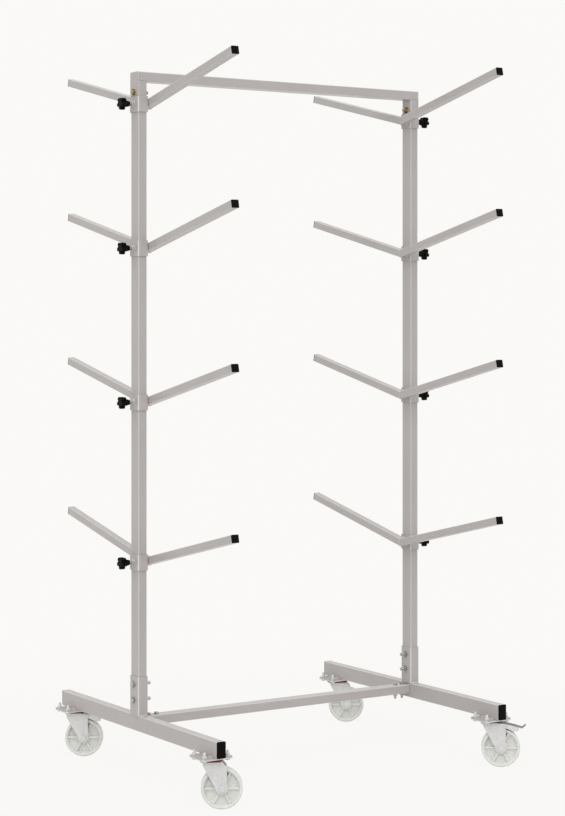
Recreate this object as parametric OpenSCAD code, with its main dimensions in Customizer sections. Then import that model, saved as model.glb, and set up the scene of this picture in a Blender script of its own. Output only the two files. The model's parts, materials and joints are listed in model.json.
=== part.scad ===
// Mobile double-sided display rack. Two posts stand in sockets on wheeled feet and are
// joined by a top bar and a lower bar. Each post carries four sliding clamp collars, and
// each collar holds a V of two upward arms, one to the front and one to the back.
// X runs along the bars, -Y is the front, and the floor is Z = 0.

/* [Frame] */
// Length of each post above its foot
post_len = 2000; // [1850:10:2300]
// Distance between the middles of the two posts
post_spacing = 1064; // [800:2:1300]
// Length of each foot
foot_len = 1000; // [800:10:1300]
// Wide side of the tube of the posts, feet and top bar
tube_wide = 50; // [44:1:60]
// Narrow side of the same tube
tube_narrow = 30; // [26:1:38]
// Wall of the frame tubes
tube_wall = 2; // [1.5:0.1:3]
// Outer corner radius of the frame tubes
tube_round = 3.5; // [3:0.1:5]
// Thickness of the head of the plug in each foot end
plug_head = 4.5; // [3:0.5:8]
// Length of that plug inside the foot
plug_insert = 22; // [12:1:40]
// Wall of the plugs and arm caps inside their tubes
plug_wall = 2.5; // [1.5:0.1:4]
// Clearance on each side between a plug and its tube
plug_slip = 0.2; // [0.1:0.05:0.5]

/* [Lower bar] */
// Width of the lower bar
lower_w = 40; // [34:1:46]
// Height of the lower bar
lower_h = 30; // [26:1:36]
// Step from the foot's top face down to the lower bar's top face
lower_drop = 5; // [2:0.5:8]
// Gap between a foot and the end of the lower bar
lower_end_gap = 0.5; // [0.3:0.1:2]
// Length of the stub inside each end of the lower bar
stub_len = 66; // [60:1:90]
// Wall of the stub
stub_wall = 2; // [1.5:0.1:3]
// Clearance on each side between the stub and the lower bar
stub_slip = 0.4; // [0.2:0.1:0.8]
// Distance from the foot to the first lower bar bolt
lower_bolt_in = 20; // [16:1:24]
// Spacing of the two bolts at each end of the lower bar
lower_bolt_pitch = 28; // [24:1:32]
// Bare thread beyond each lower bar nut
lower_thread = 9; // [2:1:20]

/* [Post sockets] */
// Height of the socket above the foot
socket_h = 122; // [112:1:160]
// Wall of the socket
socket_wall = 3; // [2:0.5:5]
// Clearance on each side between the post and its socket
socket_slip = 0.4; // [0.2:0.1:0.8]
// Height of the lower socket bolt above the foot
socket_bolt_low = 47; // [30:1:52]
// Spacing of the two socket bolts
socket_bolt_pitch = 50; // [36:1:58]
// Bare thread beyond each socket nut
socket_thread = 11; // [2:1:25]

/* [Top joint] */
// Thickness of the tab at each end of the top bar
tab_t = 3; // [2:0.5:6]
// Set-back of the tab's edges from the edges of the top bar
tab_inset = 1; // [0.5:0.5:3]
// Length of the tab below the top bar
tab_drop = 46; // [46:1:70]
// Corner radius of the tab's lower end
tab_round = 6; // [2:1:15]
// Distance from the top bar down to the tab's bolt
tab_bolt_drop = 34; // [16:1:38]
// Bare thread beyond each top joint nut
tab_thread = 5; // [2:1:15]

/* [Fasteners] */
// Thread diameter of the bolts through the posts
post_bolt_d = 10; // [8:1:12]
// Thread diameter of the bolts of the lower bar and the caster plates
small_bolt_d = 8; // [6:1:10]
// Radial room round each bolt in its hole
hole_slack = 0.3; // [0.2:0.1:0.6]

/* [Collars and arms] */
// Height of each clamp collar
collar_h = 50; // [40:1:60]
// Wall of the collar
collar_wall = 4; // [3:0.5:6]
// Clearance on each side between the collar and the post
collar_slip = 0.5; // [0.3:0.1:0.8]
// Gap between the top collar and the tab above it
collar_top_gap = 1; // [0.5:0.5:10]
// Height from the third tier to the top tier
tier_step_4 = 455; // [300:5:500]
// Height from the second tier to the third tier
tier_step_3 = 486; // [300:1:500]
// Height from the lowest tier to the second tier
tier_step_2 = 505; // [300:5:520]
// Side of the square arm tube
arm_side = 25; // [20:1:30]
// Wall of the arm tube
arm_wall = 2; // [1.5:0.1:3]
// Outer corner radius of the arm tube
arm_round = 2.5; // [1.5:0.1:4]
// Level distance from the post's middle to the end of an arm
arm_reach = 530; // [350:5:600]
// Upward tilt of the arms in degrees
arm_rise = 12.7; // [5:0.1:20]
// Thickness of the head of each arm cap
cap_head = 4; // [2:0.5:8]
// Length of the arm cap inside the arm
cap_insert = 14; // [8:1:30]

/* [Clamping knobs] */
// Outer diameter of the star grip
knob_d = 40; // [34:1:46]
// Number of lobes on the star grip
knob_lobes = 5; // [4:1:8]
// Radius of each lobe
knob_lobe_r = 5.5; // [4.5:0.5:6.5]
// Diameter of the star grip between its lobes
knob_core_d = 25; // [24:1:27]
// Length of the star grip along its stud
knob_grip = 17; // [12:1:25]
// Rounding of the star grip's edges
knob_round = 3; // [1:0.5:5]
// Diameter of the tapered hub where it meets the star grip
knob_hub_d = 24; // [20:1:24]
// Diameter of the hub's thin end
knob_neck_d = 16; // [15:1:19]
// Length of that hub
knob_hub = 17; // [8:1:20]
// Distance from the collar's face to the knob's hub
knob_stand = 16; // [14:1:30]
// Diameter of the clamping stud
stud_d = 10; // [8:1:12]
// Room between the backed-off stud and the post
stud_gap = 0.3; // [0.2:0.1:1]
// Length of the nut that is welded to the collar
weld_nut_h = 9; // [6:1:12]

/* [Caster wheels] */
// Diameter of the wheel
wheel_d = 125; // [110:1:150]
// Width of the tread
tread_w = 36; // [28:1:38]
// Rounding of the tread's edges
tread_round = 4.5; // [2:0.5:6]
// Depth of the rim under the tread
rim_t = 10; // [9.5:0.5:16]
// Diameter of the hub
hub_d = 36; // [30:1:46]
// Length of the hub along the axle
hub_len = 44; // [40:1:50]
// Thickness of the web between the hub and the rim
web_t = 12; // [4:0.5:16]
// Length of the slope from the web up to the hub and to the rim
web_slope = 5; // [2:0.5:7]
// Number of ribs on each side of the web
rib_count = 6; // [4:1:10]
// Thickness of each rib
rib_t = 7; // [3:0.5:9]
// Width over the ribs along the axle
rib_w = 26; // [18:1:27]
// Diameter of the axle bolt
axle_d = 10; // [8:1:12]
// Bare thread beyond each axle nut
axle_thread = 2.4; // [1:0.2:8]
// Wall of the sleeve between the axle bolt and the wheel
sleeve_wall = 2.4; // [1.5:0.1:4]

/* [Caster forks] */
// Offset of the axle from the swivel axis
caster_trail = 32; // [26:1:40]
// Sheet thickness of the fork
fork_wall = 3; // [2:0.5:5]
// Room between the hub and each leg of the fork
hub_gap = 0.5; // [0.3:0.1:2]
// Room between the top of the wheel and the fork's crown
wheel_room = 17; // [15:0.5:30]
// Diameter of the round crown that the balls run on
crown_d = 64; // [62:1:72]
// Depth of the crown's turned-down lip
crown_lip = 6; // [4:0.5:9]
// Reach of the fork ahead of the swivel axis
fork_front = 25; // [22:1:26]
// Depth of the fork's upright front edge, down from the crown's top
fork_edge = 12; // [8:1:18]
// Depth of the web that joins the legs in front, down from the crown's top
web_drop = 28; // [20:1:32]
// Drop of the legs' back corner below the crown's top
shoulder_drop = 18; // [14:1:30]
// Radius of the bend between the crown and the legs, inside
fork_bend = 4; // [2:0.5:6]
// Radius of the bends between the web and the legs, inside
web_bend = 6; // [3:0.5:10]
// Radius of the leg's round end about the axle
eye_r = 15; // [13:1:18]
// Width of the pressed rib on each leg
leg_rib_w = 12; // [8:1:14]
// Height of that rib
leg_rib_h = 1.2; // [0.5:0.1:2]
// Height of the rib's lower end above the axle
leg_rib_low = 14; // [11:1:24]
// Drop of the rib's upper end below the crown's top
leg_rib_drop = 12; // [8:1:20]
// Diameter of the kingpin
kingpin_d = 12; // [10:1:16]
// Length of the kingpin's nut
kingpin_nut = 7; // [5:0.5:9]
// Diameter of the swivel balls
ball_d = 8; // [6:0.5:9]
// Number of balls in each swivel
ball_count = 14; // [8:1:14]
// Diameter of the circle on which the balls run
ball_circle = 46; // [42:1:46]
// Depth of the grooves that the balls run in
race_depth = 1.05; // [0.5:0.05:1.5]
// Room round the balls in their grooves
ball_gap = 0.3; // [0.2:0.05:0.4]
// Outer diameter of the swivel seal
seal_d = 63; // [62:1:68]
// Wall of the swivel seal
seal_wall = 2.5; // [1.5:0.1:4]
// Gap under the swivel seal
seal_gap = 0.3; // [0.2:0.1:0.8]
// Turn of the front left caster in degrees
heading_front_left = -31; // [-180:1:180]
// Turn of the front right caster in degrees
heading_front_right = -36; // [-180:1:180]
// Turn of the back left caster in degrees
heading_back_left = -34; // [-180:1:180]
// Turn of the back right caster in degrees
heading_back_right = -32; // [-180:1:180]

/* [Caster plates] */
// Length of a caster plate across the foot
plate_len = 105; // [96:1:130]
// Width of a caster plate along the foot
plate_w = 85; // [78:1:110]
// Corner radius of a caster plate
plate_round = 8; // [2:1:14]
// Thickness of the caster's own plate
plate_t = 3.5; // [2.5:0.5:6]
// Thickness of the plate welded under the foot
pad_t = 4; // [3:0.5:8]
// Spacing of the plate's bolts across the foot
plate_holes_len = 80; // [72:1:84]
// Spacing of the plate's bolts along the foot
plate_holes_w = 60; // [54:1:64]
// Distance from the end of the foot to the caster plate
plate_inset = 15; // [4:1:40]
// Bare thread above each caster plate nut
plate_thread = 10; // [2:1:20]

/* [Wheel brakes] */
// Distance of the pedal's pivot behind the swivel axis
pedal_pivot = 40; // [38:1:44]
// Height of the pedal's pivot above the top of the wheel
pedal_rise = 9; // [8:0.5:11]
// Diameter of the pedal's pivot pin
pedal_pin_d = 6; // [5:0.5:8]
// Radius of the ear on the fork round the pivot pin
pedal_ear_r = 8; // [6:0.5:9]
// Sheet thickness of the pedal
pedal_t = 2.5; // [2:0.5:4]
// Room between the pedal and each leg of the fork
pedal_side_gap = 0.6; // [0.4:0.1:1.5]
// Room between the back of the pedal and the fork's crown
pedal_back_gap = 1; // [0.5:0.5:2]
// Height of the pedal's back edge above its pivot
pedal_back = 10; // [9:0.5:11]
// Distance of the pedal's bend behind the swivel axis
pedal_bend = 102; // [98:1:110]
// Drop of the pedal's bend below its pivot
pedal_bend_drop = 6.5; // [2:0.5:9]
// Distance of the pedal's tip behind the swivel axis
pedal_reach = 114; // [111:1:124]
// Height of the pedal's tip above its bend
pedal_tip = 10; // [2:0.5:12]
// Width of the pedal at its tip
pedal_tip_w = 26; // [18:1:36]
// Corner radius of the pedal's tip
pedal_tip_round = 8; // [2:1:9]
// Room between the brake shoe and the tread
shoe_gap = 4; // [3:0.5:6]
// Sheet thickness of the brake shoe
shoe_t = 3; // [2:0.5:5]
// Angle of the brake shoe's lower end above the level through the axle
shoe_low = 51; // [50:1:58]
// Angle of its upper end
shoe_high = 68; // [62:1:72]
// Distance of the cheeks' lower corner behind the axle
cheek_reach = 52; // [46:1:58]
// Drop of that corner below the pedal's pivot
cheek_drop = 16; // [12:1:20]

/* [Hidden] */
$fn = 48;

// Room of turning and threaded fits, gap between pieces of one group, and overlap of cuts
run_slack = 0.05;
seat_gap = 0.05;
cut = 1;
least_round = 0.5;

// Proportions of hexagon bolts, nuts and washers to their thread
hex_across = 1.7;
hex_face = 0.95;
head_height = 0.64;
nut_height = 0.8;
washer_across = 2;
washer_thick = 0.2;

paint = "#a8a5a1";
black_plastic = "#1d1d1f";
zinc = "#b8babd";
yellow_zinc = "#c2a75c";
nylon = "#e4e3dc";
seal_red = "#8d4034";

// Heights
wheel_r = wheel_d / 2;
race_gap = ball_d + 2 * (ball_gap - race_depth);
crown_top = wheel_d + wheel_room + fork_wall;
plate_bottom = crown_top + race_gap;
pad_bottom = plate_bottom + plate_t;
foot_bottom = pad_bottom + pad_t;
foot_top = foot_bottom + tube_wide;
lower_mid = foot_top - lower_drop - lower_h / 2;
post_top = foot_top + post_len;
tier_4 = post_top - tab_drop - collar_top_gap - collar_h / 2;
tier_3 = tier_4 - tier_step_4;
tier_2 = tier_3 - tier_step_3;
tier_1 = tier_2 - tier_step_2;
tier_heights = [tier_1, tier_2, tier_3, tier_4];

// Places along and across the rack
post_x = post_spacing / 2;
foot_face = post_x - tube_narrow / 2;
caster_y = foot_len / 2 - plate_inset - plate_w / 2;
socket_out = tube_narrow / 2 + socket_slip + socket_wall;
collar_out = tube_narrow / 2 + collar_slip + collar_wall;
arm_x = collar_out + seat_gap + arm_side / 2;
arm_len = arm_reach / cos(arm_rise) - cap_head;

// Widths over the fork, and points of its side view from the swivel axis and the floor
fork_inner = hub_len + 2 * hub_gap;
fork_outer = fork_inner + 2 * fork_wall;
fork_reach = fork_front + crown_d + caster_trail;
axle_at = [caster_trail, wheel_r];
front_corner = [-fork_front, crown_top - fork_edge];
front_way = front_corner - axle_at;
front_touch = atan2(front_way[1], front_way[0]) + acos(eye_r / norm(front_way));

// Width of the pedal and height of its pivot
pedal_w = fork_inner - 2 * pedal_side_gap;
pivot_z = wheel_d + pedal_rise;

sides = ["left", "right"];
tiers = [1, 2, 3, 4];
corners = ["front_left", "front_right", "back_left", "back_right"];
braked = ["front_right", "back_left"];
headings = [heading_front_left, heading_front_right, heading_back_left, heading_back_right];

function side_sign(side) = side == "left" ? -1 : 1;
function corner_index(corner) = search([corner], corners)[0];
function corner_x(corner) = corner_index(corner) % 2 == 0 ? -post_x : post_x;
function corner_y(corner) = corner_index(corner) < 2 ? -caster_y : caster_y;
function is_braked(corner) = len([for (name = braked) if (name == corner) name]) > 0;

// Rectangle with round corners about its own middle
module round_rect(w, h, r) {
    square([w - 2 * r, h], center = true);
    square([w, h - 2 * r], center = true);
    for (sx = [-1, 1], sy = [-1, 1])
        translate([sx * (w / 2 - r), sy * (h / 2 - r)])
            circle(r);
}

// Strip of width w with round ends, 2 r high
module round_strip(w, r) {
    square([w - 2 * r, 2 * r], center = true);
    for (sx = [-1, 1])
        translate([sx * (w / 2 - r), 0])
            circle(r);
}

// Section of a rectangular tube
module tube_section(w, h, wall, r) {
    difference() {
        round_rect(w, h, r);
        round_rect(w - 2 * wall, h - 2 * wall, max(r - wall, least_round));
    }
}

// Flat shape drawn in X and Z, thickened evenly along Y
module along_y(length) {
    rotate([90, 0, 0])
        linear_extrude(length, center = true)
            children();
}

// Flat shape drawn in Y and Z, thickened evenly along X
module along_x(length) {
    rotate([90, 0, 90])
        linear_extrude(length, center = true)
            children();
}

module bore_x(d, length) {
    rotate([0, 90, 0])
        cylinder(d = d, h = length, center = true);
}

module bore_y(d, length) {
    rotate([90, 0, 0])
        cylinder(d = d, h = length, center = true);
}

module ring(outer_d, inner_d, h) {
    difference() {
        cylinder(d = outer_d, h = h);
        translate([0, 0, -cut])
            cylinder(d = inner_d, h = h + 2 * cut);
    }
}

// Hexagon from Z = 0 to h whose corners are bevelled at the top
module hex_block(d, h) {
    across = hex_across * d;
    intersection() {
        cylinder(d = across / cos(30), h = h, $fn = 6);
        cylinder(d1 = hex_face * across + 2 * h / tan(30), d2 = hex_face * across, h = h);
    }
}

module hex_nut(d, h) {
    difference() {
        hex_block(d, h);
        translate([0, 0, -cut])
            cylinder(d = d + 2 * run_slack, h = h + 2 * cut);
    }
}

// Bolt on the Z axis whose head sits under the height seat and whose shank ends at tip
module hex_bolt(d, seat, tip) {
    translate([0, 0, seat])
        mirror([0, 0, 1])
            hex_block(d, head_height * d);
    translate([0, 0, seat])
        cylinder(d = d, h = tip - seat);
}

// Bolt, two washers and a nut that clamp the stretch from Z = 0 to grip
module bolt_set(d, grip, thread) {
    washer_t = washer_thick * d;
    nut_seat = grip + washer_t + seat_gap;
    hex_bolt(d, -washer_t - seat_gap, nut_seat + nut_height * d + thread);
    for (z = [-washer_t, grip])
        translate([0, 0, z])
            ring(washer_across * d, d + 2 * hole_slack, washer_t);
    translate([0, 0, nut_seat])
        hex_nut(d, nut_height * d);
}

// Plug for the end of a tube, with its rounded head from Z = 0 to head
module tube_plug(w, h, wall, r, head, insert) {
    inner_w = w - 2 * wall - 2 * plug_slip;
    inner_h = h - 2 * wall - 2 * plug_slip;
    intersection() {
        linear_extrude(head)
            round_rect(w, h, r);
        along_y(h)
            round_rect(w, 2 * head, head / 2);
        along_x(w)
            round_rect(h, 2 * head, head / 2);
    }
    translate([0, 0, -insert])
        linear_extrude(insert + head / 2)
            tube_section(inner_w, inner_h, plug_wall, max(r - wall, least_round));
}

// Frame of a post: X points away from the middle of the rack, Z = 0 on the foot
module at_post(side) {
    translate([side_sign(side) * post_x, 0, foot_top])
        rotate([0, 0, 90 - 90 * side_sign(side)])
            children();
}

// The same frame at the height of a tier
module at_tier(side, tier) {
    translate([0, 0, tier_heights[tier - 1] - foot_top])
        at_post(side)
            children();
}

// Frame of a caster: the swivel axis, with the plate's edges along X and Y
module at_corner(corner) {
    translate([corner_x(corner), corner_y(corner), 0])
        children();
}

// The same frame turned with the fork, so that X runs from the swivel axis to the axle
module at_fork(corner) {
    at_corner(corner)
        rotate([0, 0, headings[corner_index(corner)]])
            children();
}

module at_plate_holes() {
    for (sx = [-1, 1], sy = [-1, 1])
        translate([sx * plate_holes_len / 2, sy * plate_holes_w / 2, 0])
            children();
}

module at_socket_bolts() {
    for (z = [socket_bolt_low, socket_bolt_low + socket_bolt_pitch])
        translate([0, 0, z])
            children();
}

// Places of the lower bar's bolts at one end, in that post's frame at the bar's middle
module at_lower_bolts() {
    for (reach = [lower_bolt_in, lower_bolt_in + lower_bolt_pitch])
        translate([-tube_narrow / 2 - reach, 0, lower_mid - foot_top])
            children();
}

module foot(side) {
    color(paint)
        translate([side_sign(side) * post_x, 0, foot_bottom + tube_wide / 2])
            along_y(foot_len)
                tube_section(tube_narrow, tube_wide, tube_wall, tube_round);
}

module socket(side) {
    margin = socket_slip + socket_wall;
    color(paint)
        at_post(side)
            difference() {
                linear_extrude(socket_h)
                    tube_section(tube_narrow + 2 * margin, tube_wide + 2 * margin,
                        socket_wall, tube_round + margin);
                at_socket_bolts()
                    bore_x(post_bolt_d + 2 * hole_slack, 2 * socket_out + 2 * cut);
            }
}

module post(side) {
    color(paint)
        at_post(side)
            difference() {
                linear_extrude(post_len)
                    tube_section(tube_narrow, tube_wide, tube_wall, tube_round);
                at_socket_bolts()
                    bore_x(post_bolt_d + 2 * hole_slack, tube_narrow + 2 * cut);
                translate([0, 0, post_len - tab_bolt_drop])
                    bore_x(post_bolt_d + 2 * hole_slack, tube_narrow + 2 * cut);
            }
}

module top_bar() {
    color(paint)
        translate([0, 0, post_top + tube_narrow / 2])
            along_x(post_spacing + tube_narrow)
                tube_section(tube_wide, tube_narrow, tube_wall, tube_round);
}

// Outline of a tab in Y and Z, with Z = 0 at the top of the post
module tab_outline() {
    w = tube_wide - 2 * tab_inset;
    translate([-w / 2, tab_round - tab_drop])
        square([w, tab_drop + tube_narrow - tab_inset - tab_round]);
    translate([0, tab_round - tab_drop])
        round_strip(w, tab_round);
}

module top_bar_tabs() {
    color(paint)
        for (side = sides)
            at_post(side)
                translate([tube_narrow / 2 + tab_t / 2, 0, post_len])
                    difference() {
                        along_x(tab_t)
                            tab_outline();
                        translate([0, 0, -tab_bolt_drop])
                            bore_x(post_bolt_d + 2 * hole_slack, tab_t + 2 * cut);
                    }
}

module lower_bar() {
    color(paint)
        difference() {
            translate([0, 0, lower_mid])
                along_x(2 * (foot_face - lower_end_gap))
                    tube_section(lower_w, lower_h, tube_wall, tube_round);
            for (side = sides)
                at_post(side)
                    at_lower_bolts()
                        cylinder(d = small_bolt_d + 2 * hole_slack, h = lower_h + 2 * cut,
                            center = true);
        }
}

module lower_bar_stubs() {
    margin = tube_wall + stub_slip;
    color(paint)
        for (side = sides)
            at_post(side)
                difference() {
                    translate([-tube_narrow / 2 - stub_len / 2, 0, lower_mid - foot_top])
                        along_x(stub_len)
                            tube_section(lower_w - 2 * margin, lower_h - 2 * margin, stub_wall,
                                max(tube_round - tube_wall, least_round));
                    at_lower_bolts()
                        cylinder(d = small_bolt_d + 2 * hole_slack, h = lower_h, center = true);
                }
}

module foot_end_plugs() {
    color(black_plastic)
        for (side = sides, dir = [-1, 1])
            translate([side_sign(side) * post_x, dir * foot_len / 2, foot_bottom + tube_wide / 2])
                rotate([-90 * dir, 0, 0])
                    tube_plug(tube_narrow, tube_wide, tube_wall, tube_round, plug_head, plug_insert);
}

module top_joint_bolts() {
    color(yellow_zinc)
        for (side = sides)
            at_post(side)
                translate([tube_narrow / 2 + tab_t, 0, post_len - tab_bolt_drop])
                    rotate([0, -90, 0])
                        bolt_set(post_bolt_d, tube_narrow + tab_t, tab_thread);
}

module socket_bolts() {
    color(zinc)
        for (side = sides)
            at_post(side)
                at_socket_bolts()
                    translate([socket_out, 0, 0])
                        rotate([0, -90, 0])
                            bolt_set(post_bolt_d, 2 * socket_out, socket_thread);
}

module lower_bar_bolts() {
    color(zinc)
        for (side = sides)
            at_post(side)
                at_lower_bolts()
                    translate([0, 0, lower_h / 2])
                        mirror([0, 0, 1])
                            bolt_set(small_bolt_d, lower_h, lower_thread);
}

module caster_bolts() {
    nut_h = nut_height * small_bolt_d;
    color(zinc)
        for (corner = corners)
            at_corner(corner)
                at_plate_holes() {
                    hex_bolt(small_bolt_d, plate_bottom, foot_bottom + nut_h + plate_thread);
                    translate([0, 0, foot_bottom])
                        hex_nut(small_bolt_d, nut_h);
                }
}

// Plate with the caster's hole pattern, from Z = 0 to t
module hole_plate(t) {
    difference() {
        linear_extrude(t)
            round_rect(plate_len, plate_w, plate_round);
        at_plate_holes()
            translate([0, 0, -cut])
                cylinder(d = small_bolt_d + 2 * hole_slack, h = t + 2 * cut);
    }
}

module caster_pads() {
    color(paint)
        for (corner = corners)
            at_corner(corner)
                translate([0, 0, pad_bottom])
                    hole_plate(pad_t);
}

// Ring round the path of the balls, about their own height
module ball_race() {
    rotate_extrude()
        translate([ball_circle / 2, 0])
            circle(d = ball_d + 2 * ball_gap);
}

module caster_plates() {
    color(zinc)
        for (corner = corners)
            at_corner(corner)
                translate([0, 0, plate_bottom])
                    difference() {
                        hole_plate(plate_t);
                        translate([0, 0, -cut])
                            cylinder(d = kingpin_d + 2 * run_slack, h = plate_t + 2 * cut);
                        translate([0, 0, -race_gap / 2])
                            ball_race();
                    }
}

module kingpins() {
    nut_top = crown_top - fork_wall - seal_gap;
    color(zinc)
        for (corner = corners)
            at_corner(corner) {
                translate([0, 0, nut_top - kingpin_nut])
                    cylinder(d = kingpin_d, h = pad_bottom - nut_top + kingpin_nut);
                translate([0, 0, nut_top])
                    mirror([0, 0, 1])
                        hex_block(kingpin_d, kingpin_nut);
            }
}

module swivel_balls() {
    color(zinc)
        for (corner = corners, k = [1 : ball_count])
            at_corner(corner)
                rotate([0, 0, k * 360 / ball_count])
                    translate([ball_circle / 2, 0, crown_top + race_gap / 2])
                        sphere(d = ball_d);
}

module swivel_seals() {
    color(seal_red)
        for (corner = corners)
            at_corner(corner)
                translate([0, 0, crown_top + seal_gap])
                    ring(seal_d, seal_d - 2 * seal_wall, race_gap - seal_gap);
}

// One arm of a V, cut off square to the floor at the post's middle plane
module arm(dir) {
    translate([-arm_x, 0, 0])
        difference() {
            rotate([dir * (arm_rise - 90), 0, 0])
                translate([0, 0, -arm_side])
                    linear_extrude(arm_len + arm_side)
                        tube_section(arm_side, arm_side, arm_wall, arm_round);
            translate([0, dir * (seat_gap - arm_len / 2), 0])
                cube(arm_len, center = true);
        }
}

module arm_pair(side, tier) {
    margin = collar_slip + collar_wall;
    color(paint)
        at_tier(side, tier) {
            difference() {
                linear_extrude(collar_h, center = true)
                    tube_section(tube_narrow + 2 * margin, tube_wide + 2 * margin,
                        collar_wall, tube_round + margin);
                translate([collar_out, 0, 0])
                    bore_x(stud_d + 2 * run_slack, 2 * margin);
            }
            translate([collar_out + seat_gap, 0, 0])
                rotate([0, 90, 0])
                    hex_nut(stud_d, weld_nut_h);
            for (dir = [-1, 1])
                arm(dir);
        }
}

module arm_caps(side, tier) {
    color(black_plastic)
        at_tier(side, tier)
            for (dir = [-1, 1])
                translate([-arm_x, 0, 0])
                    rotate([dir * (arm_rise - 90), 0, 0])
                        translate([0, 0, arm_len])
                            tube_plug(arm_side, arm_side, arm_wall, arm_round, cap_head, cap_insert);
}

// Star of round lobes about its own middle
module star() {
    circle(d = knob_core_d);
    for (k = [1 : knob_lobes])
        rotate(k * 360 / knob_lobes)
            translate([knob_d / 2 - knob_lobe_r, 0])
                circle(knob_lobe_r);
}

module knob(side, tier) {
    hub_end = collar_out + knob_stand;
    stud_start = tube_narrow / 2 + stud_gap;
    stud_end = hub_end + knob_hub + knob_grip / 2;
    color(black_plastic)
        at_tier(side, tier)
            rotate([0, 90, 0]) {
                difference() {
                    union() {
                        translate([0, 0, hub_end])
                            cylinder(d1 = knob_neck_d, d2 = knob_hub_d, h = knob_hub);
                        translate([0, 0, hub_end + knob_hub - seat_gap])
                            intersection() {
                                linear_extrude(knob_grip)
                                    star();
                                rotate_extrude()
                                    intersection() {
                                        translate([0, knob_grip / 2])
                                            round_rect(knob_d, knob_grip, knob_round);
                                        square([knob_d, knob_grip]);
                                    }
                            }
                    }
                    translate([0, 0, hub_end - cut])
                        cylinder(d = stud_d + 2 * run_slack, h = stud_end - hub_end + cut + seat_gap);
                }
                translate([0, 0, stud_start])
                    cylinder(d = stud_d, h = stud_end - stud_start);
            }
}

// Side view of a fork in X and Z, with an ear for the pedal's pin on a braked one
module fork_outline(has_brake) {
    polygon([
        [-fork_front, crown_top],
        front_corner,
        axle_at + eye_r * [cos(front_touch), sin(front_touch)],
        axle_at + [eye_r, 0],
        [caster_trail + eye_r, crown_top - shoulder_drop],
        [crown_d / 2, crown_top]
    ]);
    translate(axle_at)
        circle(eye_r);
    if (has_brake)
        translate([pedal_pivot, pivot_z])
            circle(pedal_ear_r);
}

// Side view of the space inside a fork: behind the web, and all of it below the web
module fork_space_outline() {
    inner_top = crown_top - fork_wall;
    inner_front = fork_wall - fork_front;
    web_low = crown_top - web_drop;
    web_lean = (caster_trail - eye_r + fork_front) / (front_corner[1] - wheel_r);
    polygon([
        [inner_front, inner_top],
        [inner_front, front_corner[1]],
        [inner_front + web_lean * (front_corner[1] - web_low), web_low],
        [-fork_reach, web_low],
        [-fork_reach, -cut],
        [fork_reach, -cut],
        [fork_reach, inner_top]
    ]);
}

// Block with the bends of the fork's sheet, inset by the given wall
module fork_block(inset) {
    intersection() {
        along_x(2 * fork_reach)
            round_rect(fork_outer - 2 * inset, 2 * (crown_top - inset), fork_bend + fork_wall - inset);
        translate([fork_reach / 2 - fork_front + inset, 0, 0])
            linear_extrude(crown_top)
                round_rect(fork_reach, fork_outer - 2 * inset, web_bend + fork_wall - inset);
    }
}

// Round crown with its turned-down lip
module fork_crown() {
    translate([0, 0, crown_top - fork_wall])
        cylinder(d = crown_d, h = fork_wall);
    translate([0, 0, crown_top - crown_lip])
        ring(crown_d, crown_d - 2 * fork_wall, crown_lip);
}

// Side view of the upright rib that is pressed into each leg
module leg_rib_outline() {
    low = wheel_r + leg_rib_low;
    high = crown_top - leg_rib_drop;
    translate([caster_trail - leg_rib_w / 2, (low + high) / 2])
        rotate(90)
            round_strip(high - low, leg_rib_w / 2);
}

// Space of the pedal between the legs, from its pivot up past the crown
module pedal_space() {
    start = pedal_pivot - pedal_back / 2 - pedal_back_gap;
    translate([start, -fork_inner / 2, pivot_z])
        cube([pedal_reach, fork_inner, race_gap + pedal_back]);
}

module fork(corner) {
    color(zinc)
        at_fork(corner) {
            difference() {
                union() {
                    intersection() {
                        along_y(fork_outer)
                            fork_outline(is_braked(corner));
                        fork_block(0);
                    }
                    fork_crown();
                    along_y(fork_outer + 2 * leg_rib_h)
                        leg_rib_outline();
                }
                intersection() {
                    along_y(fork_inner)
                        fork_space_outline();
                    fork_block(fork_wall);
                }
                translate([0, 0, crown_top - fork_wall - cut])
                    cylinder(d = kingpin_d + 2 * run_slack, h = fork_wall + 2 * cut);
                translate([0, 0, crown_top + race_gap / 2])
                    ball_race();
                translate([caster_trail, 0, wheel_r])
                    bore_y(axle_d + 2 * run_slack, fork_outer + 2 * cut);
                if (is_braked(corner)) {
                    pedal_space();
                    translate([pedal_pivot, 0, pivot_z])
                        bore_y(pedal_pin_d + 2 * run_slack, fork_outer + 2 * cut);
                }
            }
            if (is_braked(corner))
                translate([pedal_pivot, 0, pivot_z])
                    bore_y(pedal_pin_d, fork_outer + pedal_t);
        }
}

// One side of the wheel's web, sloping up to the hub and to the rim
module web_profile() {
    hub_r = hub_d / 2;
    rim_inner = wheel_r - rim_t;
    polygon([
        [hub_r - cut, 0],
        [hub_r - cut, rib_w / 2],
        [hub_r, rib_w / 2],
        [hub_r + web_slope, web_t / 2],
        [rim_inner - web_slope, web_t / 2],
        [rim_inner, rib_w / 2],
        [rim_inner + cut, rib_w / 2],
        [rim_inner + cut, 0]
    ]);
}

// Half of the wheel's section, from the bore out to the tread
module wheel_profile() {
    bore_r = axle_d / 2 + sleeve_wall + run_slack;
    translate([wheel_r - rim_t / 2, 0])
        round_rect(rim_t, tread_w, tread_round);
    translate([bore_r, -hub_len / 2])
        square([hub_d / 2 - bore_r, hub_len]);
    web_profile();
    mirror([0, 1])
        web_profile();
}

module wheel(corner) {
    rib_len = wheel_r - rim_t - hub_d / 2 + 2 * cut;
    color(nylon)
        at_fork(corner)
            translate([caster_trail, 0, wheel_r])
                rotate([90, 0, 0]) {
                    rotate_extrude()
                        wheel_profile();
                    for (k = [1 : rib_count])
                        rotate([0, 0, k * 360 / rib_count])
                            translate([hub_d / 2 - cut, -rib_t / 2, -rib_w / 2])
                                cube([rib_len, rib_t, rib_w]);
                }
}

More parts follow.
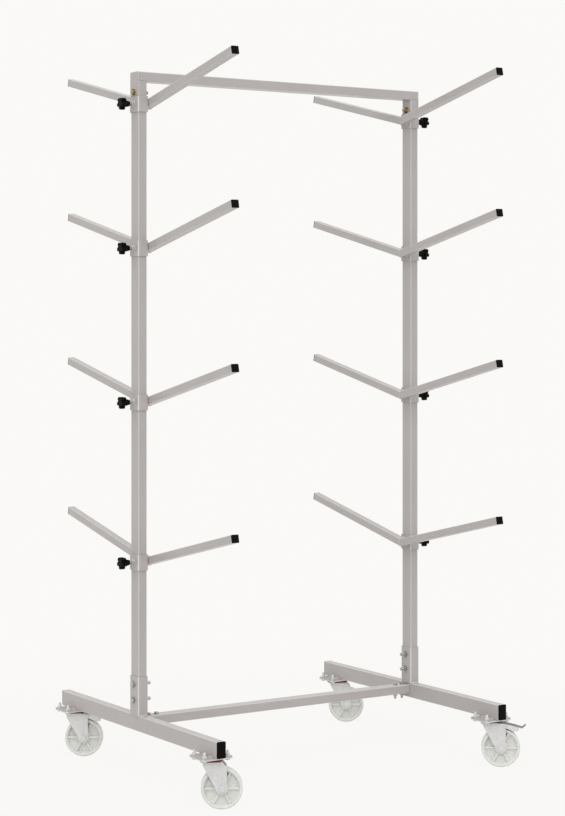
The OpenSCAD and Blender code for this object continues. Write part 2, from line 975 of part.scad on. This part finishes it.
module axle(corner) {
    nut_seat = fork_outer / 2 + seat_gap;
    sleeve_len = fork_inner - 2 * seat_gap;
    color(zinc)
        at_fork(corner)
            translate([caster_trail, 0, wheel_r])
                rotate([90, 0, 0]) {
                    mirror([0, 0, 1])
                        hex_bolt(axle_d, -nut_seat, nut_seat + nut_height * axle_d + axle_thread);
                    translate([0, 0, -sleeve_len / 2])
                        ring(axle_d + 2 * sleeve_wall, axle_d + 2 * run_slack, sleeve_len);
                    mirror([0, 0, 1])
                        translate([0, 0, nut_seat])
                            hex_nut(axle_d, nut_height * axle_d);
                }
}

// Top sheet of the pedal in X and Z: a straight slope with an upturned tip
module pedal_sheet_outline() {
    back = [pedal_pivot - pedal_back / 2, pivot_z + pedal_back];
    bend = [pedal_bend, pivot_z - pedal_bend_drop];
    tip = [pedal_reach, bend[1] + pedal_tip];
    down = [0, -pedal_t];
    polygon([back, bend, tip, tip + down, bend + down, back + down]);
}

// Side cheek of the pedal in X and Z, hollowed to run clear of the tread
module pedal_cheek_outline() {
    back_x = pedal_pivot - pedal_back / 2;
    half_sheet = pedal_t / 2;
    difference() {
        polygon([
            [back_x, pivot_z - pedal_back / 2],
            [back_x, pivot_z + pedal_back - half_sheet],
            [pedal_bend, pivot_z - pedal_bend_drop - half_sheet],
            [caster_trail + cheek_reach, pivot_z - cheek_drop],
            [caster_trail, pivot_z - cheek_drop]
        ]);
        translate(axle_at)
            circle(wheel_r + shoe_gap);
    }
}

// Brake shoe in X and Z: a curved strip that follows the tread
module pedal_shoe_outline() {
    inner = wheel_r + shoe_gap;
    outer = inner + shoe_t;
    far = 2 * outer;
    translate(axle_at)
        intersection() {
            difference() {
                circle(outer);
                circle(inner);
            }
            polygon([[0, 0], far * [cos(shoe_low), sin(shoe_low)], far * [cos(shoe_high), sin(shoe_high)]]);
        }
}

// Plan of the pedal: full width over the wheel, narrower and rounded at the tip
module pedal_plan() {
    start = pedal_pivot - pedal_back;
    mid = caster_trail + cheek_reach;
    straight = pedal_reach - pedal_tip_round;
    translate([start, -pedal_w / 2])
        square([mid - start, pedal_w]);
    polygon([[mid - cut, -pedal_w / 2], [straight, -pedal_tip_w / 2],
        [straight, pedal_tip_w / 2], [mid - cut, pedal_w / 2]]);
    translate([straight, 0])
        rotate(90)
            round_strip(pedal_tip_w, pedal_tip_round);
}

module brake_pedal(corner) {
    color(zinc)
        at_fork(corner)
            difference() {
                intersection() {
                    union() {
                        along_y(pedal_w)
                            pedal_sheet_outline();
                        along_y(pedal_w - pedal_t)
                            pedal_shoe_outline();
                        for (dir = [-1, 1])
                            translate([0, dir * (pedal_w - pedal_t) / 2, 0])
                                along_y(pedal_t)
                                    pedal_cheek_outline();
                    }
                    linear_extrude(pad_bottom)
                        pedal_plan();
                }
                translate([pedal_pivot, 0, pivot_z])
                    bore_y(pedal_pin_d + 2 * run_slack, pedal_w + 2 * cut);
            }
}

foot("left");  // left_foot
foot("right");  // right_foot
socket("left");  // left_socket
socket("right");  // right_socket
post("left");  // left_post
post("right");  // right_post
top_bar();
top_bar_tabs();
lower_bar();
lower_bar_stubs();
foot_end_plugs();
top_joint_bolts();
socket_bolts();
lower_bar_bolts();
caster_bolts();
caster_pads();
caster_plates();
kingpins();
swivel_balls();
swivel_seals();

for (side = sides, tier = tiers) {
    arm_pair(side, tier);
    arm_caps(side, tier);
    knob(side, tier);
}

for (corner = corners) {
    fork(corner);
    wheel(corner);
    axle(corner);
}

for (corner = braked)
    brake_pedal(corner);
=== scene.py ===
import json
import math

import bpy
import numpy as np
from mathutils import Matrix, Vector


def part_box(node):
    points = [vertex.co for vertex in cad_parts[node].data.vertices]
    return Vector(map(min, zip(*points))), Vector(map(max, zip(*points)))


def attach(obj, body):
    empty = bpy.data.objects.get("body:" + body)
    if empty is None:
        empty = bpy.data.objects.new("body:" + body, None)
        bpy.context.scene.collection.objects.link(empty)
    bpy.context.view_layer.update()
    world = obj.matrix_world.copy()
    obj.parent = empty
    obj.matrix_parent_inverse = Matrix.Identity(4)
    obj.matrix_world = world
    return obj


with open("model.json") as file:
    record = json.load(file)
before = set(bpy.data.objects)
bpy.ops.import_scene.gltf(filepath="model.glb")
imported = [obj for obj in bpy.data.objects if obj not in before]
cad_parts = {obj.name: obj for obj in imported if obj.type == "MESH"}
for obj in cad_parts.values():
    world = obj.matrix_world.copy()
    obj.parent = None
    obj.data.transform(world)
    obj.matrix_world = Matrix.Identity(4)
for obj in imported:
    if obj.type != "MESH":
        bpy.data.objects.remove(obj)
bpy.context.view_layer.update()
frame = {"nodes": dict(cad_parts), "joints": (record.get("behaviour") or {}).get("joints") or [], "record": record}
nodes = frame["nodes"]
joints = {joint["name"]: joint for joint in frame["joints"]}
sides = {"left": -1, "right": 1}
tiers = (1, 2, 3, 4)
corners = ("front_left", "front_right", "back_left", "back_right")
print("frame loaded:", len(nodes), "nodes")


# Camera at the photograph's viewing angle, level, with the frame dropped to take in the wheels
cameraPlace = {
    "location": (-3.7024, -5.7250, 1.4761),
    "turn": -32.954,
    "lens": 91.08,
    "drop": -0.1158,
}


def makeCamera(place):
    # a level camera, turned about the upright axis
    data = bpy.data.cameras.new("photo_camera")
    data.lens = place["lens"]
    data.shift_y = place["drop"]
    camera = bpy.data.objects.new("photo_camera", data)
    camera.location = place["location"]
    camera.rotation_euler = (math.pi / 2, 0, math.radians(place["turn"]))
    bpy.context.scene.collection.objects.link(camera)
    bpy.context.scene.camera = camera


makeCamera(cameraPlace)
print("camera placed")


# Node helpers: each adds a node to the tree and gives back its output
def mathNode(tree, operation, first, second):
    # the two values under that operation
    node = tree.nodes.new("ShaderNodeMath")
    node.operation = operation
    tree.links.new(first, node.inputs[0])
    tree.links.new(second, node.inputs[1])
    return node.outputs[0]


def mapRange(tree, value, fromRange, toRange, interpolation="LINEAR"):
    # the value carried from one range to another, held at its ends
    node = tree.nodes.new("ShaderNodeMapRange")
    node.interpolation_type = interpolation
    for socket, number in zip(("From Min", "From Max", "To Min", "To Max"), (*fromRange, *toRange)):
        node.inputs[socket].default_value = number
    tree.links.new(value, node.inputs["Value"])
    return node.outputs[0]


def mixShaders(tree, share, first, second):
    # the first shader where the share is nought, the second where it is one
    node = tree.nodes.new("ShaderNodeMixShader")
    for socket, output in zip(node.inputs, (share, first, second)):
        tree.links.new(output, socket)
    return node.outputs[0]


# Studio: an even dome, one wide soft key from the front left, and a pale floor
studio = {
    "backdrop": (0.956, 0.948, 0.930, 1),
    "dome": (0.62, 0.62, 0.63, 1),
    "keyStrength": 1.35,
    "keyAngle": 70,
    "keyTurn": (38, 0, -38),
    "floorColour": (0.80, 0.795, 0.785, 1),
    "floorSize": 60,
    "shadowShare": 0.05,
    "shadowReach": (0.9, 2.6),
}


def seenDirectly(tree):
    # one for rays from the camera, a mirror or glass, nought for the rays that light the object
    rays = tree.nodes.new("ShaderNodeLightPath").outputs
    either = mathNode(tree, "MAXIMUM", rays["Is Camera Ray"], rays["Is Glossy Ray"])
    return mathNode(tree, "MAXIMUM", either, rays["Is Transmission Ray"])


def makeWorld(look):
    # the backdrop's colour where it is seen, the dome's colour where it lights the object
    world = bpy.data.worlds.new("studio")
    world.use_nodes = True
    tree = world.node_tree
    dome = tree.nodes["Background"]
    dome.inputs["Color"].default_value = look["dome"]
    shown = tree.nodes.new("ShaderNodeBackground")
    shown.inputs["Color"].default_value = look["backdrop"]
    surface = mixShaders(tree, seenDirectly(tree), dome.outputs[0], shown.outputs[0])
    tree.links.new(surface, tree.nodes["World Output"].inputs["Surface"])
    bpy.context.scene.world = world


def makeKey(look):
    # a sun whose wide angle gives soft shade
    data = bpy.data.lights.new("key", "SUN")
    data.energy = look["keyStrength"]
    data.angle = math.radians(look["keyAngle"])
    key = bpy.data.objects.new("key", data)
    key.rotation_euler = [math.radians(turn) for turn in look["keyTurn"]]
    bpy.context.scene.collection.objects.link(key)


def floorMaterial(look):
    # the backdrop's colour where it is seen, less a faint share near the object that takes its shadow
    material = bpy.data.materials.new("floor")
    material.use_nodes = True
    tree = material.node_tree
    tree.nodes.remove(tree.nodes["Principled BSDF"])
    matt = tree.nodes.new("ShaderNodeBsdfDiffuse")
    matt.inputs["Color"].default_value = look["floorColour"]
    plain = tree.nodes.new("ShaderNodeEmission")
    plain.inputs["Color"].default_value = look["backdrop"]
    place = tree.nodes.new("ShaderNodeTexCoord")
    away = tree.nodes.new("ShaderNodeVectorMath")
    away.operation = "LENGTH"
    tree.links.new(place.outputs["Object"], away.inputs[0])
    fade = mapRange(tree, away.outputs["Value"], look["shadowReach"], (1 - look["shadowShare"], 1),
                    "SMOOTHSTEP")
    share = mathNode(tree, "MULTIPLY", seenDirectly(tree), fade)
    surface = mixShaders(tree, share, matt.outputs[0], plain.outputs[0])
    tree.links.new(surface, tree.nodes["Material Output"].inputs["Surface"])
    return material


def makeFloor(look):
    # one square face on the ground
    half = look["floorSize"] / 2
    mesh = bpy.data.meshes.new("floor")
    mesh.from_pydata([(-half, -half, 0), (half, -half, 0), (half, half, 0), (-half, half, 0)],
                     [], [(0, 1, 2, 3)])
    mesh.materials.append(floorMaterial(look))
    floor = bpy.data.objects.new("floor", mesh)
    bpy.context.scene.collection.objects.link(floor)


bpy.context.scene.view_settings.view_transform = "Standard"
makeWorld(studio)
makeKey(studio)
makeFloor(studio)
print("studio lit")


# Finishes: a colour that wanders between two shades, uneven gloss and a fine grain, on Object coordinates.
# Some have another colour on rounded corners, which is a painted highlight, or on faces that look up.
finishes = {
    "grey_paint": {
        "shades": ((0.467, 0.438, 0.420, 1), (0.495, 0.465, 0.447, 1)), "patch": 7,
        # corners: a painted highlight, paler paint on the tubes' rounded corners where the lamps' sheen would fall
        "corners": (0.74, 0.72, 0.70, 1), "cornerReach": (0.05, 0.24),
        "gloss": (0.30, 0.40), "glossPatch": 40, "grain": 900, "grainDepth": 0.00006, "edge": 0.0004,
        "sockets": {"Specular IOR Level": 0.45, "Coat Weight": 0.25, "Coat Roughness": 0.2},
    },
    "black_plastic": {
        "shades": ((0.0012, 0.0012, 0.0013, 1), (0.0030, 0.0030, 0.0032, 1)), "patch": 60,
        "gloss": (0.45, 0.6), "glossPatch": 220, "grain": 1500, "grainDepth": 0.00008, "edge": 0.0006,
        "sockets": {"Specular IOR Level": 0.08},
    },
    "zinc_plate": {
        "shades": ((0.68, 0.675, 0.67, 1), (0.76, 0.755, 0.745, 1)), "patch": 55,
        "gloss": (0.34, 0.44), "glossPatch": 160, "grain": 700, "grainDepth": 0.00002, "edge": 0.0005,
        "sockets": {"Metallic": 0.25},
    },
    "pedal_steel": {
        "shades": ((0.66, 0.655, 0.65, 1), (0.74, 0.735, 0.725, 1)), "patch": 55,
        "tops": (0.11, 0.108, 0.106, 1), "topReach": (0.45, 0.8),
        "gloss": (0.34, 0.48), "glossPatch": 160, "grain": 700, "grainDepth": 0.00003, "edge": 0.0005,
        "sockets": {"Metallic": 0.35},
    },
    # a painted shade: zinc far darker than zinc_plate, standing in for the shade and dark reflections on bolts,
    # nuts, kingpins and balls
    "bolt_zinc": {
        "shades": ((0.34, 0.34, 0.335, 1), (0.58, 0.585, 0.585, 1)), "patch": 190,
        "gloss": (0.22, 0.36), "glossPatch": 200, "grain": 700, "grainDepth": 0.00003, "edge": 0.0004,
        "sockets": {"Metallic": 1.0},
    },
    "yellow_zinc": {
        "shades": ((0.20, 0.145, 0.055, 1), (0.60, 0.50, 0.29, 1)), "patch": 170,
        "gloss": (0.24, 0.40), "glossPatch": 200, "grain": 700, "grainDepth": 0.00003, "edge": 0.0004,
        "sockets": {"Metallic": 1.0},
    },
    "white_nylon": {
        "shades": ((0.755, 0.76, 0.72, 1), (0.815, 0.815, 0.775, 1)), "patch": 30,
        "gloss": (0.34, 0.46), "glossPatch": 90, "grain": 1100, "grainDepth": 0.00005, "edge": 0.0012,
        "sockets": {"Subsurface Weight": 0.35, "Subsurface Scale": 0.006, "Subsurface Radius": (1, 1, 1),
                    "Specular IOR Level": 0.3},
    },
    "red_seal": {
        "shades": ((0.035, 0.007, 0.006, 1), (0.22, 0.014, 0.012, 1)), "patch": 45,
        "gloss": (0.45, 0.6), "glossPatch": 180, "grain": 1200, "grainDepth": 0.00006, "edge": 0.0004,
        "sockets": {"Specular IOR Level": 0.3},
    },
}
otherFinishes = {
    # bolts, nuts, kingpins and balls take the zinc with painted shade
    "bolt_zinc": ("socket_bolts", "lower_bar_bolts", "kingpins", "swivel_balls"),
    "pedal_steel": ("brake_pedal_",),
}
texture = {
    "shadeSpan": (0.32, 0.68), "glossSpan": (0.3, 0.7),
    "shadeDetail": 4, "glossDetail": 3, "grainDetail": 2, "edgeSamples": 4,
}


def addNoise(tree, place, scale, detail):
    # cloudy noise on the object's own coordinates, features about one over scale in metres
    noise = tree.nodes.new("ShaderNodeTexNoise")
    noise.inputs["Scale"].default_value = scale
    noise.inputs["Detail"].default_value = detail
    tree.links.new(place.outputs["Object"], noise.inputs["Vector"])
    return noise.outputs["Fac"]


def cornerHighlightMask(tree, place, reach):
    # where the painted corner highlight goes: nought on a face square to an axis, one on a rounded corner, one
    # less the largest part of the normal
    size = tree.nodes.new("ShaderNodeVectorMath")
    size.operation = "ABSOLUTE"
    tree.links.new(place.outputs["Normal"], size.inputs[0])
    parts = tree.nodes.new("ShaderNodeSeparateXYZ")
    tree.links.new(size.outputs[0], parts.inputs[0])
    largest = mathNode(tree, "MAXIMUM", parts.outputs["X"], parts.outputs["Y"])
    largest = mathNode(tree, "MAXIMUM", largest, parts.outputs["Z"])
    near, far = reach
    return mapRange(tree, largest, (1 - far, 1 - near), (1, 0), "SMOOTHSTEP")


def topMask(tree, place, reach):
    # one on a face that looks up, nought on a side: a smooth step of the normal's height
    parts = tree.nodes.new("ShaderNodeSeparateXYZ")
    tree.links.new(place.outputs["Normal"], parts.inputs[0])
    return mapRange(tree, parts.outputs["Z"], reach, (0, 1), "SMOOTHSTEP")


def tinted(tree, colour, tint, mask):
    # the colour, changed to the tint where the mask is one
    mix = tree.nodes.new("ShaderNodeMix")
    mix.data_type = "RGBA"
    mix.inputs["B"].default_value = tint
    tree.links.new(mask, mix.inputs["Factor"])
    tree.links.new(colour, mix.inputs["A"])
    return mix.outputs["Result"]


def makeFinish(name, look):
    # one shader with noise for its colour and gloss, over rounded edges with a grain
    material = bpy.data.materials.new(name)
    material.use_nodes = True
    tree = material.node_tree
    shader = tree.nodes["Principled BSDF"]
    for socket, value in look["sockets"].items():
        shader.inputs[socket].default_value = value
    place = tree.nodes.new("ShaderNodeTexCoord")
    shade = tree.nodes.new("ShaderNodeValToRGB")
    for element, position, colour in zip(shade.color_ramp.elements, texture["shadeSpan"], look["shades"]):
        element.position = position
        element.color = colour
    tree.links.new(addNoise(tree, place, look["patch"], texture["shadeDetail"]), shade.inputs[0])
    colour = shade.outputs[0]
    # paler colour on rounded corners: a painted highlight
    if "corners" in look:
        colour = tinted(tree, colour, look["corners"], cornerHighlightMask(tree, place, look["cornerReach"]))
    if "tops" in look:
        colour = tinted(tree, colour, look["tops"], topMask(tree, place, look["topReach"]))
    tree.links.new(colour, shader.inputs["Base Color"])
    patches = addNoise(tree, place, look["glossPatch"], texture["glossDetail"])
    tree.links.new(mapRange(tree, patches, texture["glossSpan"], look["gloss"]), shader.inputs["Roughness"])
    edge = tree.nodes.new("ShaderNodeBevel")
    edge.samples = texture["edgeSamples"]
    edge.inputs["Radius"].default_value = look["edge"]
    grain = tree.nodes.new("ShaderNodeBump")
    grain.inputs["Distance"].default_value = look["grainDepth"]
    tree.links.new(addNoise(tree, place, look["grain"], texture["grainDetail"]), grain.inputs["Height"])
    tree.links.new(edge.outputs[0], grain.inputs["Normal"])
    tree.links.new(grain.outputs[0], shader.inputs["Normal"])
    return material


materials = {name: makeFinish(name, look) for name, look in finishes.items()}
for subpart in frame["record"]["subparts"]:
    finish = subpart["material_slot"]
    for other, starts in otherFinishes.items():
        if subpart["node"].startswith(starts):
            finish = other
    for slot in nodes[subpart["node"]].material_slots:
        slot.material = materials[finish]


# Swept pieces: rings of points along a path
sweep = {"ringCount": 10, "sharpAngle": math.radians(55), "cornerSteps": 8, "fewestSteps": 4}


def unit(vectors):
    # each vector over its length
    return vectors / np.linalg.norm(vectors, axis=-1, keepdims=True)


def tubeRings(path, radii, up):
    # round each path point, a circle of that point's radius, square to the path
    tangent = unit(np.gradient(path, axis=0))
    across = unit(np.cross(up, tangent))
    lift = np.cross(tangent, across)
    angle = np.linspace(0, 2 * math.pi, sweep["ringCount"], endpoint=False)[None, :, None]
    ring = across[:, None] * np.cos(angle) + lift[:, None] * np.sin(angle)
    return path[:, None] + radii[:, None, None] * ring


def tubePart(rings):
    # a quad between neighbours on the grid of rings, and one face over each end
    index = np.arange(rings.shape[0] * rings.shape[1]).reshape(rings.shape[:2])
    turned = np.roll(index, -1, axis=1)
    quads = np.stack([index[:-1], turned[:-1], turned[1:], index[1:]], axis=-1).reshape(-1, 4)
    return rings.reshape(-1, 3), quads, [index[0, ::-1], index[-1]]


def makePiece(name, parts, slotName, body, finish=None):
    # the parts' points and faces one after another in a single mesh
    starts = np.cumsum([0] + [len(points) for points, _, _ in parts[:-1]])
    points = np.concatenate([part[0] for part in parts])
    quads = np.concatenate([part[1] + start for part, start in zip(parts, starts)])
    ends = [(end + start).tolist() for part, start in zip(parts, starts) for end in part[2]]
    mesh = bpy.data.meshes.new(name)
    mesh.from_pydata(points.tolist(), [], quads.tolist() + ends)
    mesh.polygons.foreach_set("use_smooth", np.ones(len(mesh.polygons), bool))
    mesh.set_sharp_from_angle(angle=sweep["sharpAngle"])
    mesh.materials.append(materials[finish or slotName])
    piece = bpy.data.objects.new(name, mesh)
    bpy.context.scene.collection.objects.link(piece)
    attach(piece, body)


def straightPath(start, end, step):
    # points evenly spaced from start to end
    start, end = np.array(start), np.array(end)
    count = max(int(np.linalg.norm(end - start) / step), sweep["fewestSteps"])
    return start + np.linspace(0, 1, count)[:, None] * (end - start)


def bentPath(points, rounding, step):
    # straight runs between the points, each inner corner replaced by a parabola that starts rounding away
    points = [np.array(point) for point in points]
    runs = []
    here = points[0]
    for corner, after in zip(points[1:-1], points[2:]):
        before = corner - unit(corner - here) * rounding
        beyond = corner + unit(after - corner) * rounding
        runs.append(straightPath(here, before, step)[:-1])
        t = np.linspace(0, 1, sweep["cornerSteps"])[:, None]
        runs.append(((1 - t) ** 2 * before + 2 * t * (1 - t) * corner + t ** 2 * beyond)[:-1])
        here = beyond
    runs.append(straightPath(here, points[-1], step))
    return np.concatenate(runs)


# Weld beads: a round bead that swells once for each ripple and thins out at its ends
bead = {"ripple": 0.0034, "swell": 0.16, "taper": 0.003, "thinnest": 0.06, "step": 0.0005}


def beadPart(path, radius, up):
    # radius times one plus the swell of a rectified sine along the bead, times a quarter-circle taper
    # at each end
    along = np.concatenate([[0], np.cumsum(np.linalg.norm(np.diff(path, axis=0), axis=1))])
    swell = 1 + bead["swell"] * np.abs(np.sin(math.pi * along / bead["ripple"]))
    fromEnd = np.minimum(along, along[-1] - along) / bead["taper"]
    taper = np.sqrt(1 - (1 - np.clip(fromEnd, bead["thinnest"], 1)) ** 2)
    return tubePart(tubeRings(path, radius * swell * taper, up))


collarWeld = {
    "rise": math.radians(12.7), "radius": 0.0022, "reach": 0.0195, "vRounding": 0.002,
    "inset": 0.0008, "sink": 0.0006, "mitreRadius": 0.0012, "mitreRounding": 0.0035,
    "nutRadius": 0.0013, "nutRing": 0.0092, "nutSteps": 120, "collarOut": 0.0195,
}


def postMiddle(side):
    # halfway across the post
    low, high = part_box(f"{side}_post")
    return (low.x + high.x) / 2


def collarWelds(side, tier):
    # two V beads over and under the arms on the collar, a bead round the mitre and a ring round the nut
    look = collarWeld
    sign = sides[side]
    low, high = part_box(f"arm_caps_{side}_{tier}")
    height = joints[f"knob_turn_{side}_{tier}"]["pos_m"][2]
    face = low.x if sign < 0 else high.x
    inner = high.x if sign < 0 else low.x
    half = (high.x - low.x) / 2 / math.cos(look["rise"])
    y = np.arange(-look["reach"], look["reach"] + bead["step"], bead["step"])
    vee = math.tan(look["rise"]) * np.sqrt(y ** 2 + look["vRounding"] ** 2)
    parts = []
    for up in (1, -1):
        z = height + up * (half - look["sink"]) + vee
        path = np.stack([np.full_like(y, face - sign * look["inset"]), y, z], axis=1)
        parts.append(beadPart(path, look["radius"], (1, 0, 0)))
    path = bentPath([(face, 0, height + half), (inner, 0, height + half),
                     (inner, 0, height - half), (face, 0, height - half)],
                    look["mitreRounding"], bead["step"])
    parts.append(beadPart(path, look["mitreRadius"], (0, 1, 0)))
    postX = postMiddle(side)
    turn = np.linspace(0, 2 * math.pi, look["nutSteps"])
    path = np.stack([np.full_like(turn, postX + sign * look["collarOut"]),
                     look["nutRing"] * np.cos(turn), height + look["nutRing"] * np.sin(turn)], axis=1)
    parts.append(beadPart(path, look["nutRadius"], (1, 0, 0)))
    makePiece(f"collar_welds_{side}_{tier}", parts, "grey_paint", f"arm_pair_{side}_{tier}")


frameWeld = {
    "socketRadius": 0.0026, "tabRadius": 0.0016, "padRadius": 0.0024,
    "stitch": 0.026, "stitchGap": 0.012, "corner": 0.0035,
}


def socketWelds(side):
    # beads across the foot at both ends of the socket, and along the foot under the socket's overhang
    low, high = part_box(f"{side}_socket")
    footLow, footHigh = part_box(f"{side}_foot")
    corner = frameWeld["corner"]
    parts = []
    for y in (low.y, high.y):
        path = straightPath((footLow.x + corner, y, low.z), (footHigh.x - corner, y, low.z), bead["step"])
        parts.append(beadPart(path, frameWeld["socketRadius"], (0, 0, 1)))
    for x in (footLow.x, footHigh.x):
        path = straightPath((x, low.y + corner, low.z - corner / 3), (x, high.y - corner, low.z - corner / 3),
                            bead["step"])
        parts.append(beadPart(path, frameWeld["socketRadius"], (0, 0, 1)))
    return parts


def tabWelds(side):
    # one bead up, over and down the three edges of the tab on the end of the top bar
    sign = sides[side]
    barLow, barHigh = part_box("top_bar")
    tabLow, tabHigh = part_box("top_bar_tabs")
    x = barLow.x if sign < 0 else barHigh.x
    foot = barLow.z + frameWeld["corner"]
    path = bentPath([(x, tabLow.y, foot), (x, tabLow.y, tabHigh.z), (x, tabHigh.y, tabHigh.z),
                     (x, tabHigh.y, foot)], frameWeld["corner"], bead["step"])
    return [beadPart(path, frameWeld["tabRadius"], (1, 0, 0))]


def padWelds(corner):
    # two stitches along each side of the foot, on the pad
    y = joints[f"swivel_{corner}"]["pos_m"][1]
    side = corner.split("_")[1]
    footLow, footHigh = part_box(f"{side}_foot")
    near, far = frameWeld["stitchGap"] / 2, frameWeld["stitchGap"] / 2 + frameWeld["stitch"]
    parts = []
    for edge in (footLow.x, footHigh.x):
        for start, end in ((y - far, y - near), (y + near, y + far)):
            path = straightPath((edge, start, footLow.z), (edge, end, footLow.z), bead["step"])
            parts.append(beadPart(path, frameWeld["padRadius"], (0, 0, 1)))
    return parts


for side in sides:
    for tier in tiers:
        collarWelds(side, tier)
    makePiece(f"{side}_socket_welds", socketWelds(side), "grey_paint", "frame")
    makePiece(f"{side}_tab_weld", tabWelds(side), "grey_paint", "frame")
makePiece("pad_welds", [part for corner in corners for part in padWelds(corner)], "grey_paint", "frame")
print("welds laid")


# Threads: a sleeve on the bare end of a shank, whose radius follows a helix
thread = {"rows": 8, "count": 24, "proud": 0.00035, "root": 0.00003, "lead": 0.8, "tip": 0.0003}


def threadPart(start, direction, length, radius, pitch):
    # radius is the root plus a triangle wave of the height less the turn, in pitches, fading at both ends
    direction = np.array(direction, float)
    beside = np.array((0, 0, 1)) if abs(direction[2]) < 0.5 else np.array((1, 0, 0))
    third = np.cross(direction, beside)
    height = np.linspace(0, length + thread["tip"], int(length / pitch * thread["rows"]) + 2)[:, None]
    angle = np.linspace(0, 2 * math.pi, thread["count"], endpoint=False)[None, :]
    wave = 1 - np.abs(2 * np.mod(height / pitch - angle / (2 * math.pi), 1) - 1)
    fade = np.clip(np.minimum(height, height[-1] - height) / (thread["lead"] * pitch), 0, 1)
    reach = radius + thread["root"] + (thread["proud"] - thread["root"]) * wave * fade
    ring = beside * np.cos(angle)[..., None] + third * np.sin(angle)[..., None]
    return tubePart(np.array(start) + direction * height[..., None] + reach[..., None] * ring)


# Bare ends of the bolts: distance from the middle of the clamped stack, length, radius and pitch in metres
bareThreads = {
    "socket": {"from": 0.02845, "length": 0.011, "radius": 0.005, "pitch": 0.0015,
               "heights": (0.047, 0.097)},
    "tab": {"from": 0.02505, "length": 0.005, "radius": 0.005, "pitch": 0.0015, "drop": 0.034},
    "lower": {"from": 0.02305, "length": 0.009, "radius": 0.004, "pitch": 0.00125,
              "reaches": (0.020, 0.048)},
    "caster": {"from": 0.0064, "length": 0.010, "radius": 0.004, "pitch": 0.00125,
               "spread": (0.040, 0.030)},
    "knob": {"from": 0.0286, "to": 0.0355, "radius": 0.005, "pitch": 0.0015},
    "axle": {"from": 0.03355, "length": 0.0024, "radius": 0.005, "pitch": 0.0015},
}


def endThread(kind, start, direction):
    # the sleeve that begins that kind's distance from start along direction
    look = bareThreads[kind]
    length = look["length"] if "length" in look else look["to"] - look["from"]
    begin = np.array(start) + look["from"] * np.array(direction)
    return threadPart(begin, direction, length, look["radius"], look["pitch"])


def postThreads(side):
    # socket bolts and the top joint's bolt, which all point to the middle of the rack
    inward = np.array((-sides[side], 0, 0))
    low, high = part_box(f"{side}_post")
    middle = np.array((postMiddle(side), 0, 0))
    parts = [endThread("socket", middle + (0, 0, low.z + height), inward)
             for height in bareThreads["socket"]["heights"]]
    tabPart = endThread("tab", middle + (0, 0, high.z - bareThreads["tab"]["drop"]), inward)
    return parts, tabPart


def lowerThreads(side):
    # the lower bar's bolts, which point down
    sign = sides[side]
    low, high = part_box("lower_bar")
    footLow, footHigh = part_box(f"{side}_foot")
    face = footHigh.x if sign < 0 else footLow.x
    middle = (low.z + high.z) / 2
    return [endThread("lower", (face - sign * reach, 0, middle), (0, 0, -1))
            for reach in bareThreads["lower"]["reaches"]]


def casterThreads(corner):
    # the plate's bolts, which point up through the pad
    x, y, _ = joints[f"swivel_{corner}"]["pos_m"]
    alongX, alongY = bareThreads["caster"]["spread"]
    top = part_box("caster_pads")[1].z
    return [endThread("caster", (x + dx * alongX, y + dy * alongY, top), (0, 0, 1))
            for dx in (-1, 1) for dy in (-1, 1)]


frameThreads, plateThreads = [], []
for side, sign in sides.items():
    socketParts, tabPart = postThreads(side)
    frameThreads += socketParts + lowerThreads(side)
    makePiece(f"{side}_top_bolt_thread", [tabPart], "yellow_zinc", "frame")
    for tier in tiers:
        height = joints[f"knob_turn_{side}_{tier}"]["pos_m"][2]
        stud = endThread("knob", (postMiddle(side), 0, height), (sign, 0, 0))
        # knob studs in the zinc with painted shade
        makePiece(f"knob_stud_{side}_{tier}", [stud], "zinc_plate", f"knob_{side}_{tier}", "bolt_zinc")
for corner in corners:
    plateThreads += casterThreads(corner)
    spin = joints[f"wheel_spin_{corner}"]
    axleThread = endThread("axle", spin["pos_m"], unit(np.array(spin["axis"], float)))
    makePiece(f"axle_thread_{corner}", [axleThread], "zinc_plate", f"fork_{corner}")
# bare bolt ends in the zinc with painted shade
makePiece("frame_bolt_threads", frameThreads, "zinc_plate", "frame", "bolt_zinc")
makePiece("caster_bolt_threads", plateThreads, "zinc_plate", "frame")
print("threads cut")


# Seal lips: the soft outer edge of each swivel seal, a ring between the plate and the crown
sealLip = {
    "inner": 0.0318, "outer": 0.0362, "bulge": 0.0005, "slope": 0.001, "clear": 0.0003,
    "hang": 0.0012, "hangOverPedal": -0.0008, "count": 72,
}


def lathePart(centre, radii, heights, count):
    # a closed outline of radius and height, turned once round an upright line
    angle = np.linspace(0, 2 * math.pi, count, endpoint=False)[None, :]
    radius, height = np.array(radii)[:, None], np.array(heights)[:, None]
    points = np.stack([centre[0] + radius * np.cos(angle), centre[1] + radius * np.sin(angle),
                       height + 0 * angle], axis=-1)
    index = np.arange(points.shape[0] * count).reshape(-1, count)
    below, turned = np.roll(index, -1, axis=0), np.roll(index, -1, axis=1)
    quads = np.stack([index, turned, np.roll(below, -1, axis=1), below], axis=-1).reshape(-1, 4)
    return points.reshape(-1, 3), quads, []


def lipPart(corner):
    # from just under the plate to near the crown's top, higher over a pedal, with a bulge halfway up
    look = sealLip
    low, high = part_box("swivel_seals")
    hang = look["hangOverPedal" if f"brake_press_{corner}" in joints else "hang"]
    top, foot = high.z - look["clear"], low.z - hang
    inside = low.z + look["clear"]
    radii = (look["inner"], look["outer"], look["outer"] + look["bulge"], look["outer"],
             look["inner"] + look["slope"])
    heights = (top, top, (top + foot) / 2, foot, inside)
    return lathePart(joints[f"swivel_{corner}"]["pos_m"], radii, heights, look["count"])


for corner in corners:
    makePiece(f"seal_lip_{corner}", [lipPart(corner)], "red_seal", f"fork_{corner}")
print("seal lips set")
